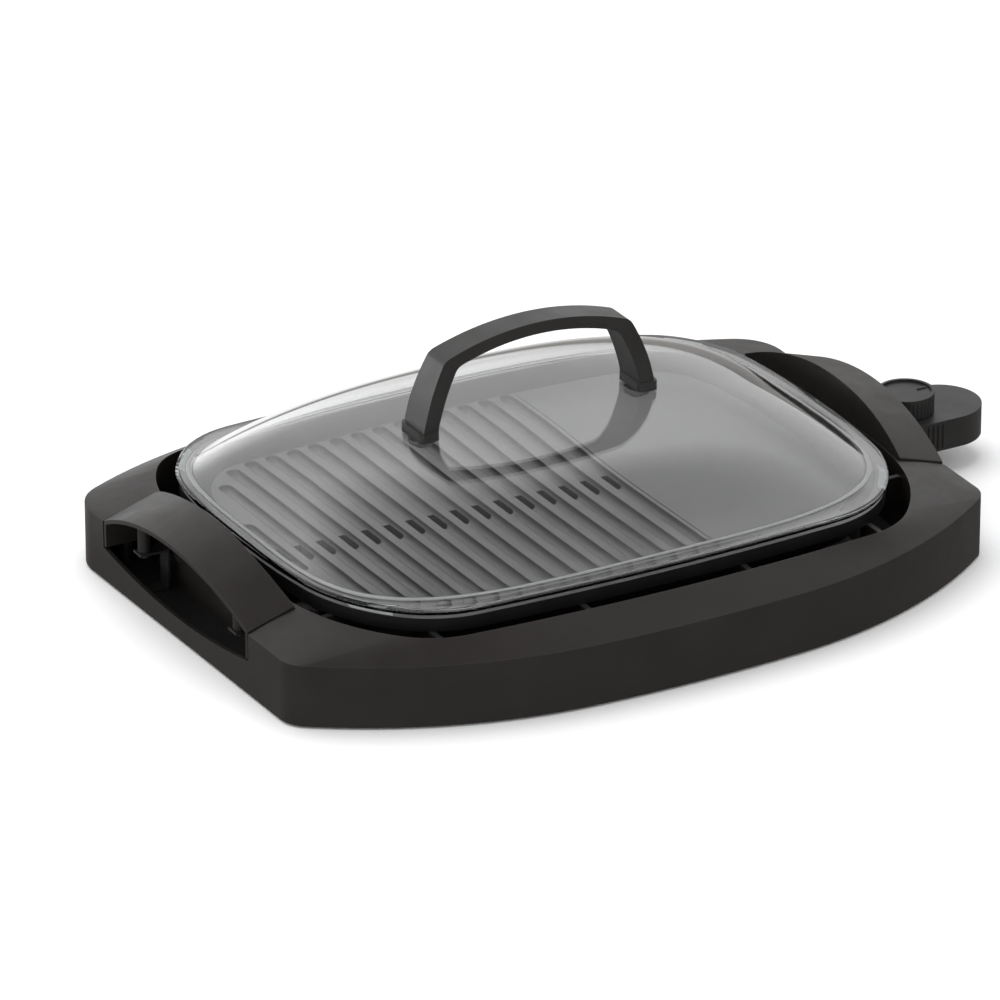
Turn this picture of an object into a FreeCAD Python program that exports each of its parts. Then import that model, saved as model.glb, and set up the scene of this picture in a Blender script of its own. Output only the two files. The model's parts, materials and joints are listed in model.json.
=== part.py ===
import FreeCAD, Part
import math
import os
from FreeCAD import Vector

# Electric griddle with a glass lid: a plastic ring base, a cast cooking plate with its
# element, a domed lid, and a plug-in control with a dial.  Millimetres, +Z up.
# Modelled about the middle of the base's two end walls, then moved by ORIGIN so that the
# written parts stand with their bottom centre on the origin.

# ---------------------------------------------------------------- driving dimensions
BASE_HALF_LENGTH = 240.0      # at the front corners
BASE_REAR_HALF_LENGTH = 243.7 # the end walls spread a little towards the back
BASE_FRONT = 201.2            # front edge, from the end walls' middle
BASE_BACK = 174.0             # the back is flatter than the front
FOOT_PROUD = 1.5              # rubber feet below the base's lower edge
CREASE_Z = 40.5               # outer edge of the sloping top ring
WELL_EDGE_Z = 50.5            # inner edge of the sloping top ring
WALL = 2.5

WELL_HALF_LENGTH = 211.0
WELL_FRONT = 173.5
WELL_BACK = 148.0

LID_HALF_LENGTH = 202.0
LID_FRONT = 158.5
LID_BACK = 146.5
LID_RIM_Z = 56.0
LID_TOP_Z = 101.5
GLASS = 4.0
DOME_HALF_LENGTH = 193.0
DOME_X = -3.0                 # the dome and its grip sit a little off the rim's middle
GRIP_X = -5.0
DOME_HALF_DEPTH = 143.0
DOME_BACK_CORNER = 2.6        # the larger, the nearer the foot's corners are to a rectangle's
DOME_FRONT_CORNER = 1.9
DOME_SHRINK = 1.0             # the inner surface's outlines are this much smaller

HANDLE_FRONT = -86.0          # ends of the arched covers, along Y
HANDLE_BACK = 95.0
HANDLE_OUTER_APEX_Z = 64.5
HANDLE_OUTER_END_Z = 41.5
HANDLE_RISE_PER_X = 0.31      # the covers slope up towards the plate
HANDLE_OUT_FRONT = 240.5      # the covers' outer edge: at the front, at the back, in the middle
HANDLE_OUT_BACK = 243.2
HANDLE_OUT_MIDDLE = 245.0
HANDLE_SKIN = 3.0

PLATE_INSET = 1.5             # plate's edge inside the lid's edge
PLATE_TOP_Z = 54.0
PLATE_FLOOR_Z = 44.0
PLATE_UNDER_Z = 35.0
RIM_UNDER_Z = 45.5
RIDGE_PITCH = 15.0
GROOVE_COUNT = 16
LAST_GROOVE_X = 50.0
GROOVE_DEPTH = 3.6
GROOVE_HALF_WIDTH = 4.6
SLOT_LENGTH = 21.0
SLOT_WIDTH = 6.0

ELEMENT_R = 3.4
ELEMENT_Z = PLATE_UNDER_Z - ELEMENT_R
PIN_SPACING = 24.0
CONTROL_Z = 26.0              # height of the pins, the probe and the control's split line

CONTROL_DISC_X = 292.8
CONTROL_R = 26.0
CONTROL_START_X = 216.0
CONTROL_LOW_Z = 17.0
CONTROL_TOP_Z = 37.0
DIAL_X = 267.2
DIAL_R = 18.0
DIAL_LOW_Z = CONTROL_TOP_Z + 0.5
DIAL_TOP_Z = 50.5

LID_SCREW_X = (GRIP_X - 74.5, GRIP_X + 74.5)
LID_HANDLE_TOP_Z = 161.5
LID_HANDLE_DEPTH = 24.0

# ---------------------------------------------------------------- derived places
PAN_Y = (LID_BACK - LID_FRONT) / 2
X_LOW = -HANDLE_OUT_MIDDLE
X_HIGH = CONTROL_DISC_X + CONTROL_R
ORIGIN = Vector((X_LOW + X_HIGH) / 2, (BASE_BACK - BASE_FRONT) / 2, 0)
HANDLE_MID_Y = (HANDLE_FRONT + HANDLE_BACK) / 2

# Each side of an outline is a chain of tangent arcs from its middle to the end wall:
# (radius, direction in degrees where the arc ends, equal pieces that it is cut into).
# The first arc's end is solved from the half length, so its direction is None.
BASE_FRONT_ARCS = [(1000.0, None, 1), (310.0, 36.4, 2), (19.0, 90.0, 2)]
BASE_BACK_ARCS = [(2627.0, None, 1), (313.0, 26.3, 2), (32.0, 90.0, 2)]
WELL_FRONT_ARCS = [(1600.0, None, 2), (55.0, 47.0, 1), (130.0, 82.0, 1), (400.0, 90.0, 1)]
WELL_BACK_ARCS = [(3000.0, None, 2), (40.0, 55.0, 1), (90.0, 80.0, 1), (400.0, 90.0, 1)]
LID_FRONT_ARCS = [(1800.0, None, 1), (70.0, 45.0, 1), (107.0, 82.0, 1), (450.0, 90.0, 1)]
LID_BACK_ARCS = [(3000.0, None, 1), (61.0, 48.0, 1), (90.0, 82.0, 1), (450.0, 90.0, 1)]

BASE = (BASE_HALF_LENGTH, BASE_REAR_HALF_LENGTH, BASE_FRONT, BASE_BACK, BASE_FRONT_ARCS, BASE_BACK_ARCS)
WELL = (WELL_HALF_LENGTH, WELL_HALF_LENGTH, WELL_FRONT, WELL_BACK, WELL_FRONT_ARCS, WELL_BACK_ARCS)
LID = (LID_HALF_LENGTH, LID_HALF_LENGTH, LID_FRONT, LID_BACK, LID_FRONT_ARCS, LID_BACK_ARCS)

# --------------------------------------------------------------- dimensions: base
COVER_LOW_Z = 3.0
COVER_THICK = 1.2
COVER_TOP_Z = COVER_LOW_Z + COVER_THICK
BOSS_R = 4.2
BOSS_PLACES = [(-222, -112), (-222, 108), (222, -112), (222, 108),
               (-105, -184), (0, -188), (105, -184), (-95, 160), (0, 160), (95, 160)]
FOOT_PLACES = [(-205, -135), (205, -135), (-205, 122), (205, 122)]
RIB_X = (-150.0, -55.0, 55.0, 150.0)
RIB_Y = (-95.0, 80.0)
RIB_THICK = 2.4
RIB_LOW_Z = 22.0
REST_THICK = 1.0
RIB_TOP_Z = RIM_UNDER_Z - REST_THICK
RIB_GAP = 0.8
SHOULDER_INSET = 8.0          # the plate's lower body inside its rim
CONTROL_NOTCH = 30.0          # half width of the way in for the control
NOTCH_LOW_Z = 11.5
NOTCH_HIGH_Z = 47.5           # clears the control when the plate is lifted by 10 mm
POCKET_LOW_MID_Z = 14.5       # top of the end wall under the handles
POCKET_LOW_END_Z = 23.0

# --------------------------------------------------------------- dimensions: arched handles
HANDLE_CLEAR = 0.4            # between the arched covers and the well's wall
HANDLE_END_GAP = 1.0          # between the arched covers' ends and the base
HANDLE_WALL = 2.4
LEG_LOW_Z = 24.0
SKIRT_LOW_Z = 30.0
HANDLE_BOSS_Y = (-59.0, 63.0)
HANDLE_BOSS_X = -232.0
HANDLE_BOSS_LOW_Z = 31.0
BRACKET = 1.5
ARCH_START_X = -250.0

# --------------------------------------------------------------- dimensions: tray and reflector
TRAY_X = (-182.0, 160.0)
TRAY_Y = (-128.0, 118.0)
TRAY_HIGH = 10.0
SHEET = 0.8
REFLECTOR_Z = 17.0

# --------------------------------------------------------------- dimensions: plate
BOWL_TOP_INSET = 8.0
BOWL_FLOOR_INSET = 22.0
GROOVE_END_GAP = 5.0

# --------------------------------------------------------------- dimensions: element and terminals
ELEMENT_RUN_Y = 72.0
ELEMENT_LEFT_X = -152.5
ELEMENT_TURN_X = 118.0
ELEMENT_END_X = 182.0
CLIP_PLACES = [(-90, 1), (-90, -1), (0, 1), (0, -1), (85, 1), (85, -1)]
GUARD_X = (180.0, 208.0)
GUARD_HALF = 27.0
GUARD_LOW_Z = 16.0
GUARD_SCREW_X = 174.0
GUARD_SCREW_Y = (-20.0, 20.0)
INSULATOR_R = 5.0
PIN_R = 2.5
PIN_END_X = 206.0
PROBE_R = 2.4
PROBE_END_X = 138.0
SLEEVE_X = (134.0, 166.0)

# --------------------------------------------------------------- dimensions: lid
# Sizes of the dome's outlines as shares of its foot's size, from the foot to the crown
DOME_SHARES = [1.02, 1.0, 0.98, 0.95] + [0.9 - 0.05 * step for step in range(17)]
DOME_RISE = LID_TOP_Z - LID_RIM_Z - GLASS
COVE_RISE = 0.9               # of the small hollow curve round the dome's foot
DOME_POINTS = 72              # points of each of the dome's outlines
FOOT_Z = LID_TOP_Z + 1.5
FOOT_SIZE_X = 11.0
FOOT_MIDDLES_X = (GRIP_X - 75.5, GRIP_X + 75.5)
COLLAR_PROUD = 1.2            # collar round each foot of the lid's handle
COLLAR_HIGH = 4.0
HANDLE_RISE = LID_HANDLE_TOP_Z - FOOT_Z
GRIP_THICK = 7.5
GRIP_TAPER = 3.2              # the grip gets narrower towards its top
LID_SCREW_R = 2.0
WASHER_LOW_Z = LID_TOP_Z - GLASS - 3.6
LID_PAD_X = 176.0
LID_PAD_LENGTH = 16.0

# --------------------------------------------------------------- dimensions: control
SHELL_WALL = 2.0
BLOCK_X = (190.0, 222.0)
BLOCK_HALF = 23.4
BLOCK_LOW_Z = CONTROL_Z - 6.8
BLOCK_HIGH_Z = CONTROL_Z + 6.8
SOCKET_R = 4.4
GRIP_RIB_X = (268.6, 272.1, 275.6, 279.1)
CONTROL_SCREW_PLACES = [(228.0, -20.0), (228.0, 20.0), (306.0, 0.0)]
GLAND_X = 299.0


# ---------------------------------------------------------------- outlines
def arc_chain(half_length, edge, arcs, inset):
    """Arcs of one side from its middle to the end wall, as (radius, from, to, x, y)."""
    pieces = [(radius - inset, angle, cuts) for radius, angle, cuts in arcs]
    sines = [math.sin(math.radians(angle)) for radius, angle, cuts in pieces[1:]]
    known = pieces[1][0] * sines[0]
    for index in range(1, len(sines)):
        known += pieces[index + 1][0] * (sines[index] - sines[index - 1])
    first_angle = math.asin((half_length - inset - known) / (pieces[0][0] - pieces[1][0]))
    x, y, start = 0.0, edge - inset, 0.0
    chain = []
    for radius, angle, cuts in pieces:
        end = first_angle if angle is None else math.radians(angle)
        for step in range(cuts):
            low = start + (end - start) * step / cuts
            high = start + (end - start) * (step + 1) / cuts
            chain.append((radius, low, high, x, y))
            x += radius * (math.sin(high) - math.sin(low))
            y -= radius * (math.cos(low) - math.cos(high))
        start = end
    return chain


def chain_point(piece, share):
    radius, low, high, x, y = piece
    angle = low + (high - low) * share
    return (x + radius * (math.sin(angle) - math.sin(low)),
            y - radius * (math.cos(low) - math.cos(angle)))


def side_edges(chain, x_sign, y_sign, z, scale, middle, backwards):
    def place(piece, share):
        x, y = chain_point(piece, share)
        return Vector(x_sign * x * scale, middle + (y_sign * y - middle) * scale, z)
    edges = []
    order = reversed(chain) if backwards else chain
    for piece in order:
        shares = (1.0, 0.5, 0.0) if backwards else (0.0, 0.5, 1.0)
        ends = [place(piece, share) for share in shares]
        edges.append(Part.Arc(*ends).toShape())
    return edges


def outline(spec, inset, z, scale=1.0):
    """Closed wire of a bulged rounded rectangle, moved inwards by inset."""
    front_half_length, rear_half_length, front, back, front_arcs, back_arcs = spec
    middle = (back - front) / 2
    rear = arc_chain(rear_half_length, back, back_arcs, inset)
    fore = arc_chain(front_half_length, front, front_arcs, inset)
    right_back = side_edges(rear, 1, 1, z, scale, middle, False)
    right_front = side_edges(fore, 1, -1, z, scale, middle, True)
    left_front = side_edges(fore, -1, -1, z, scale, middle, False)
    left_back = side_edges(rear, -1, 1, z, scale, middle, True)
    right_end = Part.makeLine(right_back[-1].lastVertex().Point, right_front[0].firstVertex().Point)
    left_end = Part.makeLine(left_front[-1].lastVertex().Point, left_back[0].firstVertex().Point)
    edges = right_back + [right_end] + right_front + left_front + [left_end] + left_back
    return Part.Wire(edges)


def prism(spec, inset, low, high):
    return Part.Face(outline(spec, inset, low)).extrude(Vector(0, 0, high - low))


def depth_at(spec, inset, x, front):
    """Distance from the X axis to the outline's front or back edge, at x."""
    front_half_length, rear_half_length, fore, rear, front_arcs, back_arcs = spec
    if front:
        chain = arc_chain(front_half_length, fore, front_arcs, inset)
    else:
        chain = arc_chain(rear_half_length, rear, back_arcs, inset)
    for radius, low, high, start_x, start_y in chain:
        sine = math.sin(low) + (abs(x) - start_x) / radius
        if sine <= math.sin(high):
            return start_y - radius * (math.cos(low) - math.sqrt(1 - sine * sine))
    return 0.0


# ---------------------------------------------------------------- small helpers
def box(x0, x1, y0, y1, z0, z1):
    return Part.makeBox(x1 - x0, y1 - y0, z1 - z0, Vector(x0, y0, z0))


def rod(radius, start, end):
    along = Vector(*end) - Vector(*start)
    return Part.makeCylinder(radius, along.Length, Vector(*start), along)


def fuse(shapes):
    return shapes[0].multiFuse(shapes[1:]).removeSplitter() if len(shapes) > 1 else shapes[0]


def mirrored(shape):
    return shape.mirror(Vector(0, 0, 0), Vector(1, 0, 0))


def pan_head(x, y, z, up, head_r=3.6, head_h=2.2, shank_r=1.6, shank=12.0):
    """Screw with its head's seat at (x, y, z) and its shank along up (+1 or -1)."""
    head = rod(head_r, (x, y, z - up * head_h), (x, y, z))
    cross = fuse([box(x - 1.8, x + 1.8, y - 0.4, y + 0.4, -1, 1), box(x - 0.4, x + 0.4, y - 1.8, y + 1.8, -1, 1)])
    cross.translate(Vector(0, 0, z - up * head_h))
    return fuse([head, rod(shank_r, (x, y, z), (x, y, z + up * shank))]).cut(cross)


def rounded_path(points, radius):
    """Wire of straight runs joined by tangent arcs."""
    edges = []
    last = points[0]
    for before, corner, after in zip(points, points[1:], points[2:]):
        back_way = (before - corner).normalize()
        on_way = (after - corner).normalize()
        half_turn = (math.pi - back_way.getAngle(on_way)) / 2
        trim = radius * math.tan(half_turn)
        start = corner + back_way * trim
        end = corner + on_way * trim
        bisector = (back_way + on_way).normalize()
        middle = corner + bisector * (radius / math.cos(half_turn) - radius)
        edges.append(Part.makeLine(last, start))
        edges.append(Part.Arc(start, middle, end).toShape())
        last = end
    edges.append(Part.makeLine(last, points[-1]))
    return Part.Wire(edges)


def tube_along(points, bend, radius):
    path = rounded_path(points, bend)
    first = points[1] - points[0]
    ring = Part.Wire(Part.Circle(points[0], first, radius).toShape())
    return path.makePipeShell([ring], True, True)


# ---------------------------------------------------------------- base


def ring_solid(skin):
    """Outer body of the base under its sloping top, every face moved in by skin."""
    crease = outline(BASE, skin, CREASE_Z - skin)
    edge = outline(WELL, -skin, WELL_EDGE_Z - skin)
    low = -5.0 if skin else FOOT_PROUD
    body = prism(BASE, skin, low, CREASE_Z - skin)
    roof = Part.makeLoft([crease, edge], True, True)
    return body.fuse(roof)


def pocket_profile(margin):
    """The end recess seen along X: level sides and a wall edge that dips in the middle."""
    front = HANDLE_FRONT + margin
    back = HANDLE_BACK - margin
    edges = [Part.Arc(Vector(0, front, POCKET_LOW_END_Z), Vector(0, HANDLE_MID_Y, POCKET_LOW_MID_Z),
                      Vector(0, back, POCKET_LOW_END_Z)).toShape(),
             Part.makeLine(Vector(0, back, POCKET_LOW_END_Z), Vector(0, back, 120)),
             Part.makeLine(Vector(0, back, 120), Vector(0, front, 120)),
             Part.makeLine(Vector(0, front, 120), Vector(0, front, POCKET_LOW_END_Z))]
    return Part.Face(Part.Wire(edges))


def end_pocket():
    """Space at the left end that the handle and the fingers take."""
    cutter = pocket_profile(0).extrude(Vector(-80, 0, 0))
    cutter.translate(Vector(-185, 0, 0))
    return cutter.cut(prism(WELL, -WALL, -10, 130))


def rib_pads(low, high, width, wall_inset):
    """Blocks that reach from the well wall to just short of the plate's lower body."""
    half = width / 2
    bars = [box(x - half, x + half, -250, 250, low, high) for x in RIB_X]
    bars += [box(-250, 250, y - half, y + half, low, high) for y in RIB_Y]
    inner = prism(LID, PLATE_INSET + SHOULDER_INSET - RIB_GAP, low - 1, high + 1)
    channel = prism(WELL, wall_inset, low - 1, high + 1).cut(inner)
    return Part.makeCompound(bars).common(channel)


def base_frame():
    shell = ring_solid(0).cut(prism(WELL, 0, -5, 80))
    cavity = ring_solid(WALL).cut(prism(WELL, -WALL, -10, 80))
    shell = shell.cut(cavity)
    bosses = Part.makeCompound([rod(BOSS_R, (x, y, COVER_TOP_Z), (x, y, 70)) for x, y in BOSS_PLACES])
    shell = shell.fuse(bosses.common(ring_solid(WALL / 2)))
    shell = shell.cut(end_pocket()).cut(mirrored(end_pocket()))
    notch = box(200, 250, -CONTROL_NOTCH, CONTROL_NOTCH, NOTCH_LOW_Z, NOTCH_HIGH_Z)
    shell = shell.cut(notch)
    shell = shell.fuse(rib_pads(RIB_LOW_Z, RIB_TOP_Z, RIB_THICK, -WALL / 2))
    shell = shell.cut(prism(BASE, WALL + 0.6, -1, COVER_TOP_Z))
    pilots = [rod(1.3, (x, y, COVER_LOW_Z - 1), (x, y, 18)) for x, y in BOSS_PLACES]
    shell = shell.cut(fuse(pilots))
    return shell.removeSplitter()


def plate_rests():
    return rib_pads(RIB_TOP_Z, RIM_UNDER_Z, RIB_THICK + 1.2, 1.5)


def bottom_cover():
    cover = prism(BASE, WALL + 1.0, COVER_LOW_Z, COVER_TOP_Z)
    holes = [rod(1.8, (x, y, 0), (x, y, 10)) for x, y in BOSS_PLACES]
    for row in range(6):
        for column in (-2, -1, 0, 1, 2):
            x = column * 62.0
            y = PAN_Y - 60.0 + row * 24.0
            holes.append(fuse([box(x - 18, x + 18, y - 2, y + 2, 0, 10), rod(2, (x - 18, y, 0), (x - 18, y, 10)),
                               rod(2, (x + 18, y, 0), (x + 18, y, 10))]))
    cover = cover.cut(Part.makeCompound(holes))
    return cover


def bottom_screws():
    return Part.makeCompound([pan_head(x, y, COVER_LOW_Z, 1, head_r=3.2, head_h=1.2, shank_r=1.3, shank=11)
                              for x, y in BOSS_PLACES])


def rubber_feet():
    feet = []
    for x, y in FOOT_PLACES:
        foot = Part.makeCone(9.0, 10.0, COVER_LOW_Z, Vector(x, y, 0))
        feet.append(foot.cut(rod(3.0, (x, y, -1), (x, y, 1.2))))
    return Part.makeCompound(feet)


# ---------------------------------------------------------------- arched handles


def under_arch(drop):
    """Everything below the arch's top surface, lowered by drop."""
    rise = HANDLE_RISE_PER_X * (BASE_HALF_LENGTH + ARCH_START_X)
    end_z = HANDLE_OUTER_END_Z + rise - drop
    apex_z = HANDLE_OUTER_APEX_Z + rise - drop
    front = Vector(ARCH_START_X, HANDLE_FRONT, end_z)
    apex = Vector(ARCH_START_X, HANDLE_MID_Y, apex_z)
    back = Vector(ARCH_START_X, HANDLE_BACK, end_z)
    low_back = Vector(ARCH_START_X, HANDLE_BACK, -60)
    low_front = Vector(ARCH_START_X, HANDLE_FRONT, -60)
    wire = Part.Wire([Part.Arc(front, apex, back).toShape(), Part.makeLine(back, low_back),
                      Part.makeLine(low_back, low_front), Part.makeLine(low_front, front)])
    run = 60.0
    return Part.Face(wire).extrude(Vector(run, 0, run * HANDLE_RISE_PER_X))


def handle_plan(inset_ends, inset_well, outer_extra):
    """Plan of a handle, as a tall solid: bulged outer edge, inner edge along the well."""
    front = HANDLE_FRONT + HANDLE_END_GAP + inset_ends
    back = HANDLE_BACK - HANDLE_END_GAP - inset_ends
    outer_front = -HANDLE_OUT_FRONT - outer_extra
    outer_back = -HANDLE_OUT_BACK - outer_extra
    inner = -195.0
    edges = [Part.Arc(Vector(outer_front, front, -10), Vector(-HANDLE_OUT_MIDDLE - outer_extra, HANDLE_MID_Y, -10),
                      Vector(outer_back, back, -10)).toShape(),
             Part.makeLine(Vector(outer_back, back, -10), Vector(inner, back, -10)),
             Part.makeLine(Vector(inner, back, -10), Vector(inner, front, -10)),
             Part.makeLine(Vector(inner, front, -10), Vector(outer_front, front, -10))]
    block = Part.Face(Part.Wire(edges)).extrude(Vector(0, 0, 120))
    return block.cut(prism(WELL, -(WALL + HANDLE_CLEAR + inset_well), -20, 130))


def left_handle():
    cover = under_arch(0).common(handle_plan(0, 0, 0))
    cover = cover.cut(under_arch(HANDLE_SKIN).common(handle_plan(HANDLE_WALL, HANDLE_WALL, 20.0)))
    bosses = [rod(4.0, (HANDLE_BOSS_X, y, HANDLE_BOSS_LOW_Z), (HANDLE_BOSS_X, y, 60)) for y in HANDLE_BOSS_Y]
    cover = cover.fuse(fuse(bosses).common(under_arch(HANDLE_SKIN / 2)))
    cover = cover.cut(box(-260, -190, -120, 120, -20, LEG_LOW_Z))
    gap = Part.Wire([Part.Arc(Vector(-222, -72, 0), Vector(-222, HANDLE_MID_Y, SKIRT_LOW_Z + 6),
                              Vector(-222, 81, 0)).toShape(),
                     Part.makeLine(Vector(-222, 81, 0), Vector(-222, -72, 0))])
    cover = cover.cut(Part.Face(gap).extrude(Vector(30, 0, 0)))
    pilots = [rod(1.3, (HANDLE_BOSS_X, y, 20), (HANDLE_BOSS_X, y, 46)) for y in HANDLE_BOSS_Y]
    return cover.cut(fuse(pilots)).removeSplitter()


def right_handle():
    way_in = box(190, 226, -CONTROL_NOTCH, CONTROL_NOTCH, 0, NOTCH_HIGH_Z)
    return mirrored(left_handle()).cut(way_in)


def handle_brackets():
    """Bent steel straps that the handles' bosses stand on."""
    straps = []
    outer = HANDLE_BOSS_X - 5
    inner = -(WELL_HALF_LENGTH + WALL + HANDLE_CLEAR + HANDLE_WALL + 1.2)
    for y in HANDLE_BOSS_Y:
        top = box(outer, inner, y - 5, y + 5, HANDLE_BOSS_LOW_Z - BRACKET, HANDLE_BOSS_LOW_Z)
        leg = box(inner - BRACKET, inner, y - 5, y + 5, COVER_TOP_Z, HANDLE_BOSS_LOW_Z)
        foot = box(outer + 2, inner, y - 5, y + 5, COVER_TOP_Z, COVER_TOP_Z + BRACKET)
        hole = rod(1.8, (HANDLE_BOSS_X, y, 20), (HANDLE_BOSS_X, y, 40))
        strap = fuse([top, leg, foot]).cut(hole)
        straps += [strap, mirrored(strap)]
    return Part.makeCompound(straps)


def handle_screws():
    return Part.makeCompound([pan_head(side * -HANDLE_BOSS_X, y, HANDLE_BOSS_LOW_Z - BRACKET, 1, head_r=3.0,
                                       head_h=2.0, shank_r=1.3, shank=14)
                              for side in (-1, 1) for y in HANDLE_BOSS_Y])


# ---------------------------------------------------------------- tray and reflector


def drip_tray():
    x0, x1 = TRAY_X
    y0, y1 = TRAY_Y
    low = COVER_TOP_Z
    block = box(x0, x1, y0, y1, low, low + TRAY_HIGH)
    upright = [edge for edge in block.Edges if abs(edge.tangentAt(edge.FirstParameter).z) > 0.99]
    block = block.makeFillet(22.0, upright)
    hollow = box(x0 + SHEET, x1 - SHEET, y0 + SHEET, y1 - SHEET, low + SHEET, low + TRAY_HIGH + 5)
    upright = [edge for edge in hollow.Edges if abs(edge.tangentAt(edge.FirstParameter).z) > 0.99]
    return block.cut(hollow.makeFillet(22.0 - SHEET, upright))


def heat_reflector():
    x0, x1 = TRAY_X[0] - 1, TRAY_X[1] + 1
    y0, y1 = TRAY_Y[0] - 3, TRAY_Y[1] + 3
    top = box(x0, x1, y0, y1, REFLECTOR_Z, REFLECTOR_Z + SHEET)
    front = box(x0, x1, y0, y0 + SHEET, COVER_TOP_Z, REFLECTOR_Z)
    back = box(x0, x1, y1 - SHEET, y1, COVER_TOP_Z, REFLECTOR_Z)
    first = LAST_GROOVE_X - RIDGE_PITCH * (GROOVE_COUNT - 1)
    drain = box(first - 6, LAST_GROOVE_X + 10, PAN_Y - 15, PAN_Y + 15, 0, 40)
    return fuse([top, front, back]).cut(drain)


# ---------------------------------------------------------------- plate


def groove_places():
    return [LAST_GROOVE_X - RIDGE_PITCH * index for index in range(GROOVE_COUNT)]


def groove(x):
    """Round-bottomed groove along Y with ball ends, inside the plate's floor."""
    radius = (GROOVE_HALF_WIDTH ** 2 + GROOVE_DEPTH ** 2) / (2 * GROOVE_DEPTH)
    centre_z = PLATE_FLOOR_Z - GROOVE_DEPTH + radius
    edge_x = abs(x) + (GROOVE_HALF_WIDTH if x < 0 else 0)
    margin = BOWL_FLOOR_INSET + GROOVE_END_GAP
    front = -depth_at(LID, margin, min(edge_x, LID_HALF_LENGTH - margin - 0.5), True)
    back = depth_at(LID, margin, min(edge_x, LID_HALF_LENGTH - margin - 0.5), False)
    ends = [Part.makeSphere(radius, Vector(x, y, centre_z)) for y in (front, back)]
    return fuse([rod(radius, (x, front, centre_z), (x, back, centre_z))] + ends)


def drain_slot(x):
    half = (SLOT_LENGTH - SLOT_WIDTH) / 2
    ends = [rod(SLOT_WIDTH / 2, (x, PAN_Y + y, 20), (x, PAN_Y + y, 60)) for y in (-half, half)]
    return fuse([box(x - SLOT_WIDTH / 2, x + SLOT_WIDTH / 2, PAN_Y - half, PAN_Y + half, 20, 60)] + ends)


def griddle_plate():
    rim = prism(LID, PLATE_INSET, RIM_UNDER_Z, PLATE_TOP_Z)
    body = Part.makeLoft([outline(LID, PLATE_INSET + SHOULDER_INSET + 4, PLATE_UNDER_Z),
                          outline(LID, PLATE_INSET + SHOULDER_INSET, RIM_UNDER_Z)], True, True)
    bowl = Part.makeLoft([outline(LID, BOWL_FLOOR_INSET, PLATE_FLOOR_Z),
                          outline(LID, BOWL_TOP_INSET, PLATE_TOP_Z)], True, True)
    bowl = bowl.fuse(prism(LID, BOWL_TOP_INSET, PLATE_TOP_Z, PLATE_TOP_Z + 5))
    plate = rim.fuse(body).cut(bowl)
    cuts = [groove(x) for x in groove_places()] + [drain_slot(x) for x in groove_places()]
    step = box(LAST_GROOVE_X + 7.2, LAST_GROOVE_X + 7.9, -128 + PAN_Y, 128 + PAN_Y, PLATE_FLOOR_Z - 0.5, 60)
    cuts.append(step.common(prism(LID, BOWL_FLOOR_INSET + 1, 0, 60)))
    return plate.cut(Part.makeCompound(cuts)).cut(screw_holes_in_plate())


# ---------------------------------------------------------------- element and terminals


def heating_element():
    half = PIN_SPACING / 2
    top = ELEMENT_Z
    right = [Vector(ELEMENT_END_X, half, CONTROL_Z), Vector(168, half, CONTROL_Z), Vector(150, half, top),
             Vector(ELEMENT_TURN_X, half, top), Vector(ELEMENT_TURN_X, PAN_Y + ELEMENT_RUN_Y, top),
             Vector(ELEMENT_LEFT_X, PAN_Y + ELEMENT_RUN_Y, top)]
    left = [Vector(ELEMENT_LEFT_X, PAN_Y - ELEMENT_RUN_Y, top), Vector(ELEMENT_TURN_X, PAN_Y - ELEMENT_RUN_Y, top),
            Vector(ELEMENT_TURN_X, -half, top), Vector(150, -half, top), Vector(168, -half, CONTROL_Z),
            Vector(ELEMENT_END_X, -half, CONTROL_Z)]
    tube = tube_along(right + left, 12.0, ELEMENT_R)
    return tube


def clip_ends(x, side):
    return (x, PAN_Y + side * ELEMENT_RUN_Y)


def element_clips():
    clips = []
    for place in CLIP_PLACES:
        x, y = clip_ends(*place)
        saddle = rod(ELEMENT_R + 1.0, (x - 6, y, ELEMENT_Z), (x + 6, y, ELEMENT_Z))
        ears = box(x - 6, x + 6, y - 13, y + 13, PLATE_UNDER_Z - 1.2, PLATE_UNDER_Z)
        block = fuse([saddle, box(x - 6, x + 6, y - ELEMENT_R - 1, y + ELEMENT_R + 1, ELEMENT_Z, PLATE_UNDER_Z), ears])
        bore = rod(ELEMENT_R, (x - 9, y, ELEMENT_Z), (x + 9, y, ELEMENT_Z))
        channel = box(x - 9, x + 9, y - ELEMENT_R, y + ELEMENT_R, ELEMENT_Z, PLATE_UNDER_Z + 5)
        clip = block.cut(bore).cut(channel).cut(box(x - 9, x + 9, y - 20, y + 20, PLATE_UNDER_Z, 50))
        holes = [rod(1.7, (x, y + side * 9.5, 20), (x, y + side * 9.5, 50)) for side in (-1, 1)]
        clips.append(clip.cut(fuse(holes)))
    return Part.makeCompound(clips)


def clip_screws():
    screws = []
    for place in CLIP_PLACES:
        x, y = clip_ends(*place)
        for side in (-1, 1):
            seat = PLATE_UNDER_Z - 1.2
            screws.append(pan_head(x, y + side * 9.5, seat, 1, head_r=2.8, head_h=1.6, shank_r=1.5, shank=4.2))
    return Part.makeCompound(screws)


def screw_holes_in_plate():
    holes = []
    for place in CLIP_PLACES:
        x, y = clip_ends(*place)
        for side in (-1, 1):
            holes.append(rod(1.5, (x, y + side * 9.5, PLATE_UNDER_Z - 1), (x, y + side * 9.5, PLATE_UNDER_Z + 3.2)))
    for y in GUARD_SCREW_Y:
        holes.append(rod(1.5, (GUARD_SCREW_X, y, PLATE_UNDER_Z - 1), (GUARD_SCREW_X, y, PLATE_UNDER_Z + 4.0)))
    return Part.makeCompound(holes)


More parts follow.
